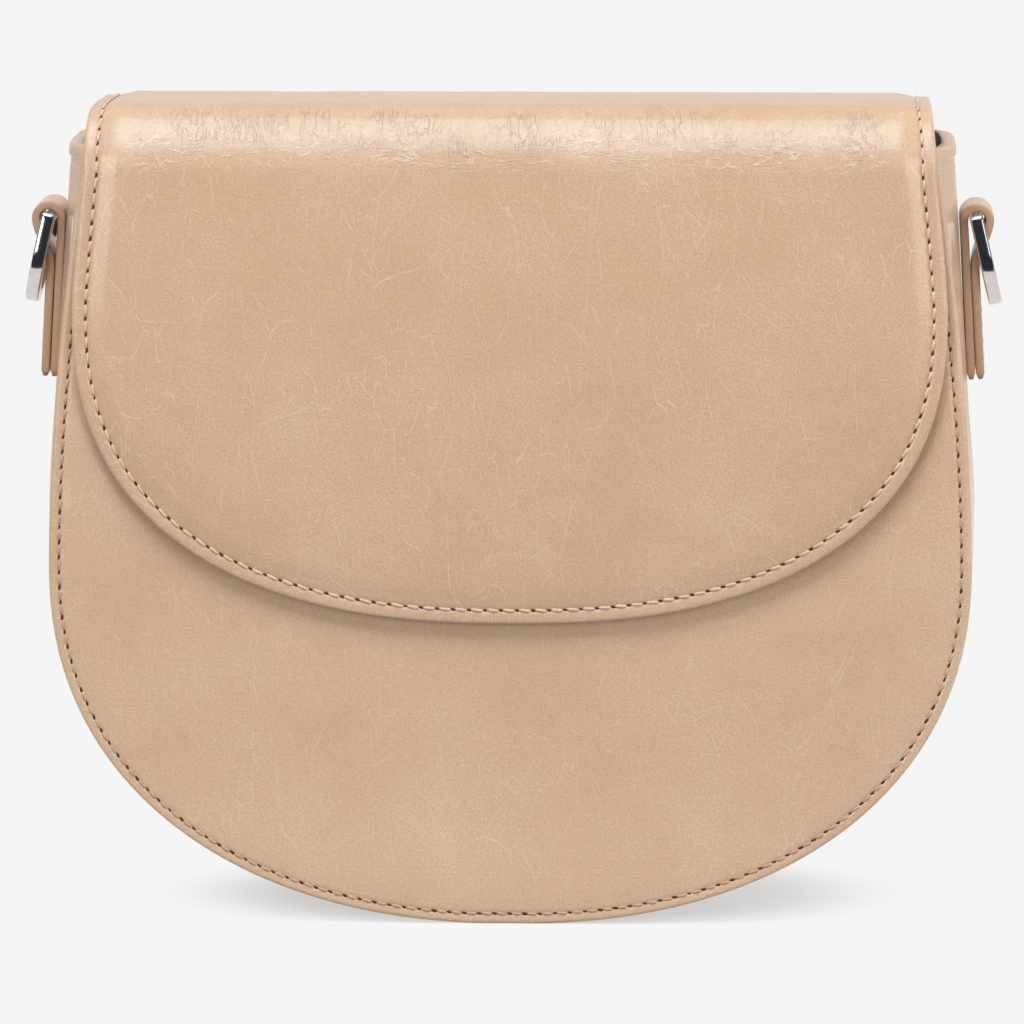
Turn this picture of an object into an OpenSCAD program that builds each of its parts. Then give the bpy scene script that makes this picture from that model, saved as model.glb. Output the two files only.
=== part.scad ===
// Saddle handbag: two half-moon panels joined by a gusset, a flap that is sewn to the back
// and folds over the front, and two side tabs that each hold a D-ring for a strap.
// Millimetres. +Z is up, the front faces -Y, and the bag stands on z = 0.

/* [Body] */
// Width of the front and back panels at their widest line
body_w = 220.4; // [190:0.2:250]
// Height of the widest line above the floor
widest_z = 86; // [78:1:105]
// Distance from the top of the flap down to the mouth, where the panels and the gusset end
mouth_drop = 9.1; // [8.6:0.1:19.6]
// How far each side of a panel draws in between the widest line and the mouth
side_draw_in = 9; // [4:0.5:14]
// Length of the flat stretch of the bottom that the bag stands on
foot_l = 16; // [8:1:30]
// Depth of the bag over its front and back panels
body_d = 58; // [45:1:75]

/* [Walls] */
// Thickness of the leather of the front and back panels
panel_t = 1.6; // [1:0.1:2.2]
// Thickness of the board behind each panel
stiffener_t = 1.4; // [0.8:0.1:2]
// Thickness of the linings
lining_t = 0.5; // [0.3:0.1:1]
// Thickness of the gusset leather
gusset_t = 1.4; // [1:0.1:2]
// Width of the gusset's turned edges, which are sewn behind the panels
flange_w = 8; // [6:0.5:12]
// How far the gusset swells past the panels at the mouth
gusset_swell = 4.4; // [1:0.2:4.6]

/* [Flap] */
// Height of the top of the flap
top_z = 195.6; // [195:0.2:204]
// Width of the flap over the top of the bag
flap_top_w = 201.4; // [180:0.2:202.4]
// Width of the flap at its widest line
flap_w = 208.2; // [190:0.2:216]
// Height of the flap's widest line
flap_widest_z = 148; // [130:1:155]
// Height of the lowest point of the flap
flap_bottom_z = 73; // [50:0.2:90]
// Outer radius of the bend at the front of the top
front_bend_r = 10; // [9:0.5:12]
// Outer radius of the bend at the back of the top
back_bend_r = 8; // [6:0.5:10]
// Thickness of the flap's leather
flap_leather_t = 1.4; // [1:0.1:1.8]
// Thickness of the flap's inner board
flap_core_t = 1; // [0.6:0.1:1.4]
// Thickness of the flap's lining
flap_lining_t = 0.8; // [0.4:0.1:1.2]
// Width of the edge of the flap's leather that is turned in over the board
hem_w = 4.2; // [3.6:0.1:6]
// Space between the closed flap and the front panel
flap_gap = 0.5; // [0.3:0.1:1]
// Height of the part of the flap that is sewn to the back
yoke_h = 38; // [25:1:60]
// Radius of the lower corners of that part
yoke_corner_r = 18; // [8:1:24]

/* [Closure] */
// Diameter of the hidden magnets
magnet_dia = 18; // [12:0.5:20]
// Height of the magnets' centres
magnet_z = 98; // [92:1:120]

/* [Side tabs] */
// Width of the tabs, from front to back
tab_w = 19; // [14:0.5:19.5]
// Thickness of one layer of a tab
tab_t = 2; // [1.4:0.1:2.2]
// Diameter of the hole that the loop leaves for the ring
loop_bore = 4.2; // [3.8:0.1:4.6]
// Height of the middle of the loop
loop_z = 167.6; // [160:0.2:172]
// Distance from the middle of the loop to the tab's lower end
tab_drop = 38; // [30:0.1:42]
// Lean of the tabs toward the bag at the top, in degrees
tab_lean = 3; // [2:0.5:5]
// Distance below the loop where the two layers meet
neck_drop = 9.5; // [7:0.5:12]

/* [Rings] */
// Width of the opening of a D-ring
ring_gap_w = 20.5; // [20:0.5:24]
// Height of a D-ring over all
ring_h = 23; // [19:0.5:25]
// Width and thickness of the metal
ring_t = 3.2; // [2.9:0.1:3.4]
// Diameter of the ring's round bar, which lies in the loop
ring_bar_dia = 2.8; // [2:0.1:2.8]
// Lean of the resting rings, away from the tab at the bottom, in degrees
ring_lean = 13; // [10:0.5:15]

/* [Stitching] */
// Distance of the panel stitches from the panel's edge
panel_seam_in = 2.45; // [1.8:0.05:3.5]
// Distance from one panel stitch to the next
panel_pitch = 3.6; // [3:0.1:5]
// Length of a panel stitch
panel_stitch_l = 2.4; // [1.6:0.1:2.8]
// Distance of the flap stitches from the flap's edge
flap_seam_in = 2.9; // [2:0.1:3.6]
// Distance from one flap stitch to the next
flap_pitch = 3.8; // [3.2:0.1:5]
// Length of a flap stitch
flap_stitch_l = 2.7; // [2:0.1:3]
// Width of the thread
thread_w = 0.7; // [0.4:0.1:1]
// How far the thread stands proud of the leather
thread_h = 0.3; // [0.2:0.05:0.5]

/* [Hidden] */

// Curve exponents of the outlines: the lower edges, the sides above the widest line,
// and the gusset's swell over its height and over its depth
panel_curve_share = 2.2;
flap_curve_share = 2.43;
draw_in_curve_share = 1.7;
flap_draw_in_curve_share = 1.2;
swell_height_share = 4;
swell_depth_share = 4;

// Counts of points along one side, along one lower quarter and across the gusset
side_points = 8;
low_points = 16;
depth_points = 6;
tab_points = 20;

// Small clearances between layers
layer_gap = 0.3;
magnet_gap = 0.3;
tab_gap = 0.05;
// Distance that the lining stays below the mouth
lining_drop = 1;
// Distance that the flap's lining stays inside its edge
lining_in = 0.6;
// Gap between the halves of a bend, which belong to two moving pieces
bend_gap = 0.3;
// Distance from the mouth to the first panel stitch
seam_start = 5;
// Distance from a tab's edge to its stitches, and height of its stitched area
tab_seam_in = 2.5;
tab_seam_h = 16;
// How far a cutting shape runs past what it cuts
overrun = 1;
// How far a bend's straight end runs down into the flat part of the flap
root_h = 1;

// Depth positions. The overall depth is centred on y = 0.
flap_t = flap_leather_t + flap_core_t + flap_lining_t;
out_y = (body_d + 2 * flap_t + flap_gap) / 2;
front_y = -out_y + flap_t + flap_gap;
back_y = out_y - flap_t;
wall_t = panel_t + max(stiffener_t, gusset_t);

mouth_z = top_z - mouth_drop;

// Centres of the bends at the top of the flap
back_bend_y = out_y - back_bend_r;
back_bend_z = top_z - back_bend_r;
front_bend_y = -out_y + front_bend_r;
front_bend_z = top_z - front_bend_r;

// An outline is [half width, depth of its lower curve, height of its widest line, lowest z,
// draw-in of its sides, height of its top, exponent of its lower curve, exponent of its sides]
panel_form = [body_w / 2,
              widest_z / pow(1 - pow(foot_l / body_w, panel_curve_share), 1 / panel_curve_share),
              widest_z, 0, side_draw_in, mouth_z, panel_curve_share, draw_in_curve_share];
flap_form = [flap_w / 2, flap_widest_z - flap_bottom_z, flap_widest_z, flap_bottom_z,
             (flap_w - flap_top_w) / 2, front_bend_z, flap_curve_share,
             flap_draw_in_curve_share];

function rise(f, z) = max(0, z - f[2]) / (f[5] - f[2]);
function side_x(f, z) = f[0] - f[4] * pow(rise(f, z), f[7]);
function side_slope(f, z) = f[4] * f[7] * pow(rise(f, z), f[7] - 1) / (f[5] - f[2]);
function low_point(f, a) =
    [f[0] * pow(cos(a), 2 / f[6]), max(f[3], f[2] - f[1] * pow(sin(a), 2 / f[6]))];
function low_normal(f, a) =
    let (gx = pow(cos(a), 2 - 2 / f[6]) / f[0], gz = pow(sin(a), 2 - 2 / f[6]) / f[1])
    [gx, -gz] / norm([gx, gz]);
// Angle at which a lower curve reaches its lowest height, short of the middle where the
// outline ends in a flat foot
function low_end(f) = asin(pow((f[2] - f[3]) / f[1], f[6] / 2));
// Right half of an outline from its top down to the foot or the middle of the bottom, and
// the outward direction at each point. An inset moves each point against its direction.
function half_points(f, top) = concat(
    [for (i = [0:side_points - 1])
        let (z = top + (f[2] - top) * i / side_points) [side_x(f, z), z]],
    [for (i = [0:low_points]) low_point(f, low_end(f) * i / low_points)]);
function half_normals(f, top) = concat(
    [for (i = [0:side_points - 1])
        let (z = top + (f[2] - top) * i / side_points, s = side_slope(f, z))
        [norm([1, s]), 0]],
    [for (i = [0:low_points]) low_normal(f, low_end(f) * i / low_points)]);
// A point in the middle is shared by both halves
function both_halves(r) =
    let (last = len(r) - (r[len(r) - 1][0] > 0 ? 1 : 2))
    concat(r, [for (i = [last:-1:0]) [-r[i][0], r[i][1]]]);
function outline(f, inset, top) =
    let (p = half_points(f, top), n = half_normals(f, top))
    both_halves([for (i = [0:len(p) - 1]) p[i] - inset * n[i]]);

// A flat piece of an outline, its outer face at y0
module plate(f, inset, top, y0, t) {
    translate([0, y0 + t, 0]) rotate([90, 0, 0])
        linear_extrude(t) polygon(outline(f, inset, top));
}

// Places along a line of points, at an even pitch: [place, direction]
function run_lengths(p) = [for (i = 0, a = 0; i < len(p);
    a = a + (i < len(p) - 1 ? norm(p[i + 1] - p[i]) : 0), i = i + 1) a];
function places(p, pitch) =
    let (run = run_lengths(p), full = run[len(run) - 1], n = floor(full / pitch))
    [for (k = [0:n - 1])
        let (s = (k + 1 / 2) * full / n,
             j = min(len(p) - 2, len([for (v = run) if (v <= s) 1]) - 1),
             d = (p[j + 1] - p[j]) / norm(p[j + 1] - p[j]))
        [p[j] + d * (s - run[j]), d]];

// A row of stitches along an outline, proud of the face at y0. face is -1 in front, 1 behind.
module outline_stitches(f, inset, top, y0, face, pitch, l) {
    for (q = places(outline(f, inset, top), pitch))
        translate([q[0][0], y0 + face * thread_h / 2, q[0][1]])
            rotate([0, -atan2(q[1][1], q[1][0]), 0])
                cube([l, thread_h, thread_w], center = true);
}

// ---- Front and back walls ----
module board(y0) {
    plate(panel_form, flange_w + layer_gap, mouth_z, y0, stiffener_t);
}
module front_panel() {
    color([0.82, 0.68, 0.53]) plate(panel_form, 0, mouth_z, front_y, panel_t);
}
module front_stiffener() {
    color([0.55, 0.47, 0.38]) difference() {
        board(front_y + panel_t);
        translate([0, front_y, magnet_z]) rotate([-90, 0, 0])
            cylinder(d = magnet_dia + 2 * magnet_gap, h = wall_t + overrun, $fn = 64);
    }
}
module front_lining() {
    color([0.72, 0.62, 0.5])
        plate(panel_form, gusset_t + layer_gap, mouth_z - lining_drop, front_y + wall_t,
              lining_t);
}
module front_thread() {
    color([0.62, 0.47, 0.33])
        outline_stitches(panel_form, panel_seam_in, mouth_z - seam_start, front_y, -1,
                         panel_pitch, panel_stitch_l);
}
module back_panel() {
    color([0.82, 0.68, 0.53]) plate(panel_form, 0, mouth_z, back_y - panel_t, panel_t);
}
module back_stiffener() {
    color([0.55, 0.47, 0.38]) board(back_y - panel_t - stiffener_t);
}
module back_lining() {
    color([0.72, 0.62, 0.5])
        plate(panel_form, gusset_t + layer_gap, mouth_z - lining_drop,
              back_y - wall_t - lining_t, lining_t);
}
module back_thread() {
    color([0.62, 0.47, 0.33])
        outline_stitches(panel_form, panel_seam_in, front_bend_z - yoke_h - seam_start,
                         back_y, 1, panel_pitch, panel_stitch_l);
}

// ---- Gusset: a swelling band with two turned edges, swept along the panels' outline ----
function swell(z, y, y0, y1) =
    gusset_swell * pow(z / mouth_z, swell_height_share)
    * (1 - pow(abs(2 * (y - y0) / (y1 - y0) - 1), swell_depth_share));
// Cross-section as [inset, y] with the swell taken off at height z
function band(z, y0, y1, inset, t, edge_w, edge_t) = concat(
    [for (j = [0:depth_points]) let (y = y0 + (y1 - y0) * j / depth_points)
        [inset - swell(z, y, y0, y1), y]],
    edge_w > 0 ? [[inset + edge_w, y1], [inset + edge_w, y1 - edge_t]] : [],
    [for (j = [depth_points:-1:0])
        let (ya = y0 + edge_t, yb = y1 - edge_t, y = ya + (yb - ya) * j / depth_points)
        [inset + t - swell(z, y, y0, y1) * (edge_w > 0 ? sign(j) * sign(depth_points - j) : 1),
         y]],
    edge_w > 0 ? [[inset + edge_w, y0 + edge_t], [inset + edge_w, y0]] : []);
module swept_band(top, y0, y1, inset, t, edge_w, edge_t) {
    p = both_halves(half_points(panel_form, top));
    n = both_halves(half_normals(panel_form, top));
    rings = [for (i = [0:len(p) - 1])
        [for (q = band(p[i][1], y0, y1, inset, t, edge_w, edge_t))
            let (c = p[i] - q[0] * n[i]) [c[0], q[1], c[1]]]];
    m = len(rings[0]);
    last = len(rings) - 1;
    // Places in a ring: the outer points come first, then the inner ones in reverse, with
    // two points of a turned edge after each
    e = edge_w > 0 ? 2 : 0;
    first_in = depth_points + 1 + e;
    quads = concat(
        [for (j = [0:depth_points - 1])
            let (a = first_in + depth_points - j) [j, j + 1, a - 1, a]],
        e > 0 ? [[first_in - 3, first_in - 2, first_in - 1, first_in],
                 [m - 3, m - 2, m - 1, 0]] : []);
    ends = [for (q = quads) for (tri = [[q[0], q[1], q[2]], [q[0], q[2], q[3]]]) tri];
    polyhedron(
        points = [for (r = rings) for (v = r) v],
        faces = concat(
            [for (i = [0:last - 1]) for (j = [0:m - 1]) let (k = (j + 1) % m)
                for (tri = [[i * m + j, (i + 1) * m + j, (i + 1) * m + k],
                            [i * m + j, (i + 1) * m + k, i * m + k]]) tri],
            ends,
            [for (t = ends) [last * m + t[2], last * m + t[1], last * m + t[0]]]));
}
module gusset() {
    color([0.85, 0.71, 0.56])
        swept_band(mouth_z, front_y + panel_t, back_y - panel_t, 0, gusset_t, flange_w,
                   gusset_t);
}
module gusset_lining() {
    color([0.72, 0.62, 0.5])
        swept_band(mouth_z - lining_drop, front_y + wall_t + lining_t + layer_gap,
                   back_y - wall_t - lining_t - layer_gap, gusset_t + layer_gap, lining_t,
                   0, 0);
}

// ---- Closure ----
module magnet(y0, t) {
    translate([0, y0, magnet_z]) rotate([-90, 0, 0])
        cylinder(d = magnet_dia, h = t, $fn = 64);
}
module panel_magnet() {
    color([0.6, 0.6, 0.62]) magnet(front_y + panel_t, stiffener_t);
}
module flap_magnet() {
    color([0.6, 0.6, 0.62]) magnet(-out_y + flap_leather_t, flap_core_t);
}

// ---- Flap ----
// Part of a bend between two angles, from depth d0 to d1 under its outer face, in Y-Z
module bend_part(y, z, r, a0, a1, d0, d1) {
    reach = 2 * r;
    translate([y, z]) intersection() {
        difference() {
            circle(r = r - d0, $fn = 96);
            circle(r = r - d1, $fn = 96);
        }
        polygon([[0, 0], reach * [cos(a0), sin(a0)],
                 reach * [cos((a0 + a1) / 2), sin((a0 + a1) / 2)],
                 reach * [cos(a1), sin(a1)]]);
    }
}
function half_gap_angle(r) = asin(bend_gap / 2 / r);
// Length of a Y-Z profile along X, centred, or on both edges only
module across(w) {
    translate([-w / 2, 0, 0]) rotate([90, 0, 90]) linear_extrude(w) children();
}
module at_edges(w, l) {
    for (m = [0, 1]) mirror([m, 0, 0])
        translate([w / 2 - l, 0, 0]) rotate([90, 0, 90]) linear_extrude(l) children();
}
// Each outer half of a bend has a short root that runs into the flat piece below it
module yoke_bend(d0, d1) {
    bend_part(back_bend_y, back_bend_z, back_bend_r, 0, 45 - half_gap_angle(back_bend_r),
              d0, d1);
    translate([out_y - d1, back_bend_z - root_h]) square([d1 - d0, root_h]);
}
module top_profile(d0, d1) {
    bend_part(back_bend_y, back_bend_z, back_bend_r, 45 + half_gap_angle(back_bend_r), 90,
              d0, d1);
    translate([front_bend_y, top_z - d1]) square([back_bend_y - front_bend_y, d1 - d0]);
    bend_part(front_bend_y, front_bend_z, front_bend_r, 90,
              135 - half_gap_angle(front_bend_r), d0, d1);
}
module front_bend(d0, d1) {
    bend_part(front_bend_y, front_bend_z, front_bend_r,
              135 + half_gap_angle(front_bend_r), 180, d0, d1);
    translate([d0 - out_y, front_bend_z - root_h]) square([d1 - d0, root_h]);
}

// The part of the flap that lies on the back, with round lower corners
module yoke_plate(w, inset, d0, d1) {
    r = yoke_corner_r - inset;
    low = back_bend_z - yoke_h + inset;
    translate([0, out_y - d0, 0]) rotate([90, 0, 0]) linear_extrude(d1 - d0) {
        translate([-w / 2, low + r]) square([w, back_bend_z - low - r]);
        translate([r - w / 2, low]) square([w - 2 * r, r]);
        for (s = [-1, 1]) translate([s * (w / 2 - r), low + r]) circle(r = r, $fn = 96);
    }
}
module flap_yoke() {
    color([0.82, 0.68, 0.53]) {
        yoke_plate(flap_top_w, 0, 0, flap_leather_t);
        across(flap_top_w) yoke_bend(0, flap_leather_t);
    }
}
module yoke_lining() {
    color([0.72, 0.62, 0.5]) {
        yoke_plate(flap_top_w - 2 * lining_in, lining_in, flap_leather_t, flap_t);
        across(flap_top_w - 2 * lining_in) yoke_bend(flap_leather_t, flap_t);
    }
}
module yoke_thread() {
    half = flap_top_w / 2 - flap_seam_in;
    r = yoke_corner_r - flap_seam_in;
    low = back_bend_z - yoke_h + flap_seam_in;
    line = concat([[half, back_bend_z]],
                  [for (a = [0:-10:-90]) [half - r + r * cos(a), low + r + r * sin(a)]]);
    color([0.88, 0.78, 0.64])
        for (q = places(both_halves(concat(line, [[0, low]])), flap_pitch))
            translate([q[0][0], out_y + thread_h / 2, q[0][1]])
                rotate([0, -atan2(q[1][1], q[1][0]), 0])
                    cube([flap_stitch_l, thread_h, thread_w], center = true);
}

module flap_top_leather() {
    color([0.84, 0.7, 0.55]) {
        across(flap_top_w) top_profile(0, flap_leather_t);
        at_edges(flap_top_w, hem_w) top_profile(0, flap_leather_t + flap_core_t);
    }
}
module flap_top_core() {
    color([0.55, 0.47, 0.38]) across(flap_top_w - 2 * (hem_w + layer_gap))
        top_profile(flap_leather_t, flap_leather_t + flap_core_t);
}
module flap_top_lining() {
    color([0.76, 0.66, 0.53]) across(flap_top_w - 2 * lining_in)
        top_profile(flap_leather_t + flap_core_t, flap_t);
}
// One stitch on a bend or on the top, at arm length r from a centre, turned by an angle
module top_stitch(x, y, z, r, a) {
    translate([x, y, z]) rotate([a - 90, 0, 0]) translate([0, 0, r + thread_h / 2])
        cube([thread_w, flap_stitch_l, thread_h], center = true);
}
module flap_top_thread() {
    l = back_bend_y - front_bend_y;
    n = floor(l / flap_pitch);
    color([0.88, 0.78, 0.64])
        for (s = [-1, 1]) {
            x = s * (flap_top_w / 2 - flap_seam_in);
            for (k = [0:n - 1])
                top_stitch(x, front_bend_y + (k + 1 / 2) * l / n, top_z, 0, 90);
            top_stitch(x, back_bend_y, back_bend_z, back_bend_r, 70);
            top_stitch(x, front_bend_y, front_bend_z, front_bend_r, 105);
        }
}

module flap_front_leather() {
    color([0.84, 0.7, 0.55]) {
        plate(flap_form, 0, front_bend_z, -out_y, flap_leather_t);
        difference() {
            plate(flap_form, 0, front_bend_z, -out_y + flap_leather_t, flap_core_t);
            translate([0, -overrun, 0])
                plate(flap_form, hem_w, front_bend_z + overrun,
                      -out_y + flap_leather_t, flap_core_t + 2 * overrun);
        }
        across(flap_top_w) front_bend(0, flap_leather_t);
        at_edges(flap_top_w, hem_w) front_bend(0, flap_leather_t + flap_core_t);
    }
}
module flap_front_core() {
    color([0.55, 0.47, 0.38]) {
        difference() {
            plate(flap_form, hem_w + layer_gap, front_bend_z, -out_y + flap_leather_t,
                  flap_core_t);
            translate([0, -out_y, magnet_z]) rotate([-90, 0, 0])
                cylinder(d = magnet_dia + 2 * magnet_gap, h = flap_t + overrun, $fn = 64);
        }
        across(flap_top_w - 2 * (hem_w + layer_gap))
            front_bend(flap_leather_t, flap_leather_t + flap_core_t);
    }
}
module flap_front_lining() {
    color([0.76, 0.66, 0.53]) {
        plate(flap_form, lining_in, front_bend_z, -out_y + flap_leather_t + flap_core_t,
              flap_lining_t);
        across(flap_top_w - 2 * lining_in)
            front_bend(flap_leather_t + flap_core_t, flap_t);
    }
}
module flap_front_thread() {
    color([0.88, 0.78, 0.64]) {
        outline_stitches(flap_form, flap_seam_in, front_bend_z, -out_y, -1, flap_pitch,
                         flap_stitch_l);
        for (s = [-1, 1])
            top_stitch(s * (flap_top_w / 2 - flap_seam_in), front_bend_y, front_bend_z,
                       front_bend_r, 165);
    }
}

// ---- Side tabs, each a strip folded round the bar of its ring ----
// Profile with its origin in the middle of the loop: u outward, v up
loop_r = loop_bore / 2 + tab_t;
slit = 0.2;
tab_face = 2 * tab_t + slit - loop_r;
// The inner layer lies against the gusset where the gusset stands out most along it
function gusset_x(z) =
    side_x(panel_form, z) + swell(z, 0, -1, 1) * norm([1, side_slope(panel_form, z)]);
loop_x = tab_gap + max([for (k = [0:tab_points])
    let (v = -tab_drop * k / tab_points,
         z = loop_z - loop_r * sin(tab_lean) + v * cos(tab_lean))
    gusset_x(z) + loop_r * cos(tab_lean) + v * sin(tab_lean)]);
module tab_profile() {
    half_hole = loop_bore / 2 - slit / 2;
    difference() {
        polygon(concat([for (a = [180:-7.5:-15]) loop_r * [cos(a), sin(a)]],
                       [[tab_face, -neck_drop], [tab_face, -tab_drop],
                        [-loop_r, -tab_drop]]));
        circle(r = loop_bore / 2, $fn = 96);
        polygon([[-half_hole, 0], [half_hole, 0], [tab_face - tab_t, -neck_drop],
                 [tab_face - tab_t, -tab_drop - overrun],
                 [tab_face - tab_t - slit, -tab_drop - overrun]]);
    }
}
module place_tab() {
    translate([loop_x, 0, loop_z]) rotate([0, -tab_lean, 0]) children();
}
module tab() {
    place_tab() translate([0, tab_w / 2, 0]) rotate([90, 0, 0])
        linear_extrude(tab_w) tab_profile();
}
module tab_stitches() {
    y = tab_w / 2 - tab_seam_in;
    low = -tab_drop + tab_seam_in;
    line = concat([[y, low + tab_seam_h]], [[y, low]], [[0, low]]);
    place_tab()
        for (q = places(both_halves(line), panel_pitch))
            translate([tab_face + thread_h / 2, q[0][0], q[0][1]])
                rotate([atan2(q[1][1], q[1][0]), 0, 0])
                    cube([thread_h, panel_stitch_l, thread_w], center = true);
}
module right_tab() { color([0.8, 0.66, 0.52]) tab(); }
module left_tab() { color([0.8, 0.66, 0.52]) mirror([1, 0, 0]) tab(); }
module right_tab_thread() { color([0.62, 0.47, 0.33]) tab_stitches(); }
module left_tab_thread() { color([0.62, 0.47, 0.33]) mirror([1, 0, 0]) tab_stitches(); }

// ---- D-rings: flat metal with a round bar in the loop ----
module ring() {
    out_r = ring_gap_w / 2 + ring_t;
    leg = ring_h - ring_t / 2 - out_r;
    translate([loop_x, 0, loop_z]) rotate([0, -ring_lean, 0]) {
        translate([-ring_t / 2, 0, 0]) rotate([90, 0, 90]) linear_extrude(ring_t)
            difference() {
                union() {
                    translate([0, -leg]) circle(r = out_r, $fn = 128);
                    translate([-out_r, -leg]) square([2 * out_r, leg + ring_t / 2]);
                }
                translate([0, -leg]) circle(r = ring_gap_w / 2, $fn = 128);
                translate([-ring_gap_w / 2, -leg])
                    square([ring_gap_w, leg + ring_t / 2 + overrun]);
                translate([-out_r - overrun, ring_t / 2])
                    square([2 * (out_r + overrun), out_r]);
            }
        translate([0, ring_gap_w / 2 + ring_t / 2, 0]) rotate([90, 0, 0])
            cylinder(d = ring_bar_dia, h = ring_gap_w + ring_t, $fn = 64);
    }
}
module right_ring() { color([0.8, 0.81, 0.84]) ring(); }
module left_ring() { color([0.8, 0.81, 0.84]) mirror([1, 0, 0]) ring(); }

front_panel();
front_stiffener();
front_lining();
front_thread();
back_panel();
back_stiffener();
back_lining();
back_thread();
gusset();
gusset_lining();
panel_magnet();
flap_yoke();
yoke_lining();
yoke_thread();
flap_top_leather();
flap_top_core();
flap_top_lining();
flap_top_thread();
flap_front_leather();
flap_front_core();
flap_front_lining();
flap_front_thread();
flap_magnet();
left_tab();
right_tab();
left_tab_thread();
right_tab_thread();
left_ring();
right_ring();
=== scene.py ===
import math

import bmesh
import bpy
import numpy as np
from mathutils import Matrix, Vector, noise


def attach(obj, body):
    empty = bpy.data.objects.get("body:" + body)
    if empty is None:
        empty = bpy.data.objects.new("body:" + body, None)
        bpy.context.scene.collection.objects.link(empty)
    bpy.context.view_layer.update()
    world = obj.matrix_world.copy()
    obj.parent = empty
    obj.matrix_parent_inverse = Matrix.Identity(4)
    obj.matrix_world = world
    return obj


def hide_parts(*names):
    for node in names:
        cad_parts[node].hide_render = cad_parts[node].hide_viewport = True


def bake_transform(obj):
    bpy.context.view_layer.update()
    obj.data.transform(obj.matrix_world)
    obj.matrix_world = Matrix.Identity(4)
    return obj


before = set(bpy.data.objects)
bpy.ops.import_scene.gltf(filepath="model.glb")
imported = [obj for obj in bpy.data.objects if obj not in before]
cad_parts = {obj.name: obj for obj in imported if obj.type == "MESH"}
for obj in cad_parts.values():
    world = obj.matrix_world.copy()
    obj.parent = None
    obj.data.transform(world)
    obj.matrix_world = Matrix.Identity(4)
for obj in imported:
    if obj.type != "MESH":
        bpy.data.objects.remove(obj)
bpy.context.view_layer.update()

MM = 0.001

# Sizes, in millimetres
OUT_Y = 32.45            # outer face of the closed flap is at -OUT_Y, of its sewn part at +OUT_Y
FLAP_T = 3.2
TOP_Z = 195.6
BEND_A, BEND_B = 12.0, 15.6     # half axes of the front bend's outer face: depth and height
BACK_R = 8.0                    # radius of the back bend's outer face
FRONT_Y = -OUT_Y + FLAP_T + 0.5
BACK_Y = OUT_Y - FLAP_T
PANEL_T = 1.6
BODY_W, FOOT_L = 220.4, 16.0
GUSSET_T, FLANGE_W = 1.4, 8.0
MOUTH_Z = 186.5
WIDEST_Z = 86.0
LOOP_X, LOOP_Z = 111.22, 167.6
TAB_W, TAB_T, TAB_LEAN = 19.0, 2.0, math.radians(3)
TAB_L, LOOP_R = 38.0, 2.1       # length of a tab's layers below the loop, and the loop's inner radius
RING_LEAN = math.radians(13)


# Mesh helpers
def link(obj):
    bpy.context.scene.collection.objects.link(obj)
    return obj


def mesh_object(name, verts, faces, uvs, mats, mat_index=None):
    """A smooth mesh from points in mm, with one uv (in mm) per point, and its faces turned outward."""
    me = bpy.data.meshes.new(name)
    me.from_pydata((np.asarray(verts, float) * MM).tolist(), [], [list(f) for f in faces])
    layer = me.uv_layers.new(name="UVMap")
    uv = np.asarray(uvs, float) / 100.0
    idx = np.zeros(len(me.loops), int)
    me.loops.foreach_get("vertex_index", idx)
    layer.data.foreach_set("uv", uv[idx].astype(np.float32).ravel())
    for m in mats:
        me.materials.append(m)
    if mat_index is not None:
        me.polygons.foreach_set("material_index", np.asarray(mat_index, np.int32))
    me.polygons.foreach_set("use_smooth", [True] * len(me.polygons))
    bm = bmesh.new()
    bm.from_mesh(me)
    bmesh.ops.recalc_face_normals(bm, faces=bm.faces)
    bm.to_mesh(me)
    bm.free()
    me.update()
    return link(bpy.data.objects.new(name, me))


def tube_faces(rows, around, base=0, ends=True):
    """Faces round a tube of rings, each with the same number of points, and then its two ends."""
    faces = []
    for i in range(rows - 1):
        a, b = base + i * around, base + (i + 1) * around
        for j in range(around):
            k = (j + 1) % around
            faces.append((a + j, b + j, b + k, a + k))
    if ends:
        faces.append([base + j for j in range(around)])
        faces.append([base + (rows - 1) * around + j for j in range(around)][::-1])
    return faces


def round_rect(w, h, r, angles):
    """Cross-section of a strip or bar with half sizes w and h, whose corners are round."""
    return [(sx * (w - r) + r * math.cos(math.radians(a0 + a)),
             sy * (h - r) + r * math.sin(math.radians(a0 + a)))
            for sx, sy, a0 in ((1, 1, 0), (-1, 1, 90), (-1, -1, 180), (1, -1, 270)) for a in angles]


def run_of(points):
    """Length along a line up to each of its points."""
    return np.concatenate([[0], np.cumsum(np.linalg.norm(np.diff(points, axis=0), axis=1))])


def resample(points, normals, count):
    """count + 1 places at even spacing along a line of 2D points."""
    run = np.concatenate([[0], np.cumsum(np.hypot(*np.diff(points, axis=0).T))])
    at = np.linspace(0, run[-1], count + 1)
    p = np.stack([np.interp(at, run, points[:, k]) for k in (0, 1)], 1)
    n = np.stack([np.interp(at, run, normals[:, k]) for k in (0, 1)], 1)
    return p, n


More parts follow.
